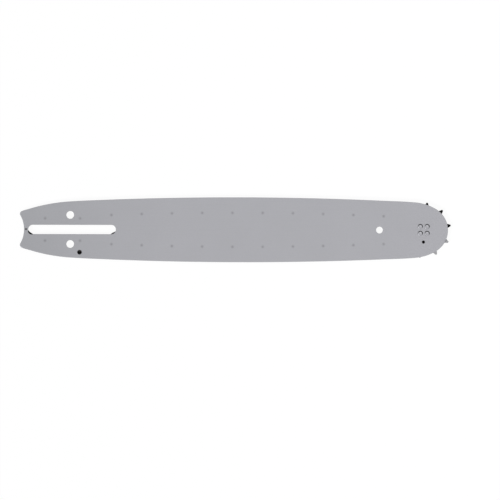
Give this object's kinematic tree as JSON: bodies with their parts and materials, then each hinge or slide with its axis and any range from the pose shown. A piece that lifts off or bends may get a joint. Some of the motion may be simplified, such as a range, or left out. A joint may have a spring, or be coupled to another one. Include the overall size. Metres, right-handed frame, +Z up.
{
  "type": "chainsaw guide bar",
  "caption": "Flat steel guide bar for a chainsaw: grooved rails carry the chain, a slotted tail clamps to the saw, and a toothed sprocket turns in the nose.",
  "frame": {"origin": "centre of the stud slot, on the lower face", "axes": "+X from the tail to the nose, +Y across the bar to one rail, +Z up through its thickness"},
  "size_m": [0.4443, 0.0668, 0.0047],
  "materials": {
    "plate_steel": "satin, finely ground",
    "core_steel": "rolled, oiled",
    "hub_steel": "hardened, ground",
    "sprocket_steel": "hardened, dark oxide, worn bare on two teeth",
    "rivet_steel": "formed, satin",
    "roller_steel": "ground, under dark grease"
  },
  "bodies": {
    "bar": {"side_plate_front": "plate_steel", "side_plate_back": "plate_steel", "core_plate": "core_steel", "bearing_hub": "hub_steel", "nose_rivet_1": "rivet_steel", "nose_rivet_2": "rivet_steel", "nose_rivet_3": "rivet_steel", "nose_rivet_4": "rivet_steel"},
    "sprocket": {"nose_sprocket": "sprocket_steel"},
    "rollers": {"roller_01": "roller_steel", "roller_02": "roller_steel", "roller_03": "roller_steel", "roller_04": "roller_steel", "roller_05": "roller_steel", "roller_06": "roller_steel", "roller_07": "roller_steel", "roller_08": "roller_steel", "roller_09": "roller_steel", "roller_10": "roller_steel", "roller_11": "roller_steel", "roller_12": "roller_steel", "roller_13": "roller_steel", "roller_14": "roller_steel", "roller_15": "roller_steel", "roller_16": "roller_steel", "roller_17": "roller_steel", "roller_18": "roller_steel", "roller_19": "roller_steel", "roller_20": "roller_steel"}
  },
  "joints": [
    {"name": "sprocket_spin", "type": "hinge", "parent": "bar", "child": "sprocket", "pos_m": [0.3624, 0, 0.00235], "axis": [0, 0, 1], "continuous": true},
    {"name": "roller_orbit", "type": "hinge", "parent": "bar", "child": "rollers", "pos_m": [0.3624, 0, 0.00235], "axis": [0, 0, 1], "continuous": true}
  ],
  "couplings": [
    {"joint": "roller_orbit", "follows": "sprocket_spin", "ratio": 0.577}
  ]
}
